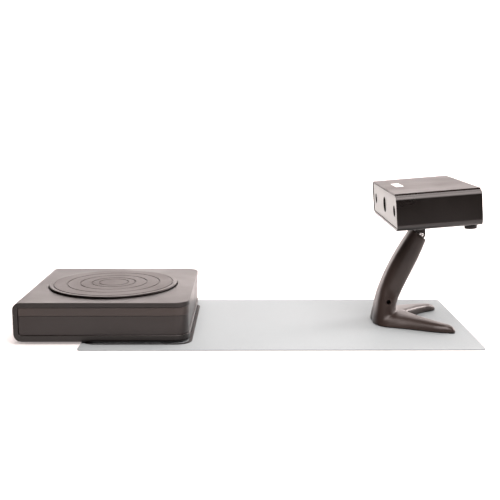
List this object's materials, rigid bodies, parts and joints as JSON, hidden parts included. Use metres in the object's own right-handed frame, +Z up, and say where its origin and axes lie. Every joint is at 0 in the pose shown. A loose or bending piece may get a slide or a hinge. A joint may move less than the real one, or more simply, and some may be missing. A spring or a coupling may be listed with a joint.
{
  "type": "desktop 3d scanner",
  "caption": "Desktop 3d scanner: a square motor turntable and a tilting scanning head on a forked stand, both set on one thin locating plate.",
  "frame": {"origin": "on the table top, under the middle of the overall length and the middle of the locating plate's width", "axes": "+X from the turntable towards the scanning head, +Y away from a viewer who has the turntable on the left, +Z up"},
  "size_m": [0.56, 0.25, 0.1868],
  "materials": {
    "plate_sheet": "matt light grey coated sheet",
    "strip_dark": "matt dark tape",
    "casing_dark": "fine-grained dark plastic",
    "panel_dark": "fine-grained dark plastic",
    "band_dark": "satin dark grey plastic",
    "rubber_black": "matt rubber",
    "screw_steel": "zinc plated",
    "screw_dark": "blackened",
    "platter_grey": "satin dark plastic",
    "mat_rubber": "matt dark grey rubber",
    "bright_steel": "ground",
    "bush_bronze": "sintered bronze",
    "cast_alloy": "machined",
    "white_plastic": "natural acetal",
    "gear_plastic": "moulded",
    "motor_steel": "dull",
    "zinc_sheet": "zinc plated sheet",
    "board_green": "solder resist",
    "socket_black": "moulded",
    "stand_dark": "satin dark",
    "bracket_dark": "black coated steel",
    "bolt_chrome": "bright",
    "head_dark": "satin dark",
    "cover_dark": "satin dark",
    "face_silver": "light silver grey",
    "badge_white": "plain white",
    "lens_glass": "dark coated glass",
    "barrel_black": "black anodised",
    "engine_black": "moulded",
    "button_grey": "satin"
  },
  "bodies": {
    "base": {"locating_plate": "plate_sheet", "locating_strip": "strip_dark", "turntable_wrap": "casing_dark", "turntable_lower_frame": "panel_dark", "turntable_upper_frame": "band_dark", "turntable_feet": "rubber_black", "turntable_base_screws": "screw_steel", "shaft_bushes": "bush_bronze", "bearing_housing": "cast_alloy", "thrust_washer": "white_plastic", "drive_belt": "rubber_black", "turntable_motor": "motor_steel", "mechanism_deck": "zinc_sheet", "motor_screws": "screw_steel", "deck_screws": "screw_steel", "driver_board": "board_green", "driver_board_screws": "screw_steel", "turntable_socket": "socket_black", "stand_near_half": "stand_dark", "stand_far_half": "stand_dark", "stand_spine": "motor_steel", "stand_ballast": "motor_steel", "stand_screw": "screw_dark", "stand_sole_pads": "rubber_black"},
    "platter": {"platter": "platter_grey", "platter_mat": "mat_rubber", "platter_shaft": "bright_steel", "drive_pulley": "gear_plastic"},
    "motor_rotor": {"motor_shaft": "bright_steel", "motor_pulley": "cast_alloy"},
    "head": {"hinge_bracket": "bracket_dark", "hinge_bolt": "bolt_chrome", "hinge_nut": "bolt_chrome", "hinge_washers": "white_plastic", "bracket_screws": "screw_steel", "head_shell": "head_dark", "head_top_cover": "cover_dark", "front_plate": "face_silver", "blank_badge": "badge_white", "rear_panel": "panel_dark", "rear_panel_screws": "screw_dark", "optical_bench": "cast_alloy", "camera_windows": "lens_glass", "projector_window": "lens_glass", "near_camera": "barrel_black", "far_camera": "barrel_black", "projector_lens": "barrel_black", "projector_body": "engine_black", "heat_sink": "cast_alloy", "fan_frame": "socket_black", "main_board": "board_green", "usb_socket": "bright_steel", "power_jack": "socket_black", "turntable_port": "socket_black", "button_switch": "socket_black", "head_pads": "rubber_black"},
    "fan": {"fan_rotor": "socket_black"},
    "button": {"power_button": "button_grey"}
  },
  "joints": [
    {"name": "platter_spin", "type": "hinge", "parent": "base", "child": "platter", "pos_m": [-0.175, 0.005, 0.05], "axis": [0, 0, 1], "continuous": true},
    {"name": "motor_spin", "type": "hinge", "parent": "base", "child": "motor_rotor", "pos_m": [-0.243, 0.005, 0.04], "axis": [0, 0, 1], "continuous": true},
    {"name": "head_tilt", "type": "hinge", "parent": "base", "child": "head", "pos_m": [0.2232, 0.005, 0.1187], "axis": [0, 1, 0], "range_deg": [-10, 12]},
    {"name": "fan_spin", "type": "hinge", "parent": "head", "child": "fan", "pos_m": [0.26975, 0.005, 0.16237], "axis": [0.9968, 0, 0.0802], "continuous": true},
    {"name": "button_press", "type": "slide", "parent": "head", "child": "button", "axis": [-0.9968, 0, -0.0802], "range_m": [0, 0.0012], "stiffness_N_per_m": 900, "springref_m": -0.001}
  ],
  "couplings": [
    {"joint": "motor_spin", "follows": "platter_spin", "ratio": 4.5}
  ]
}
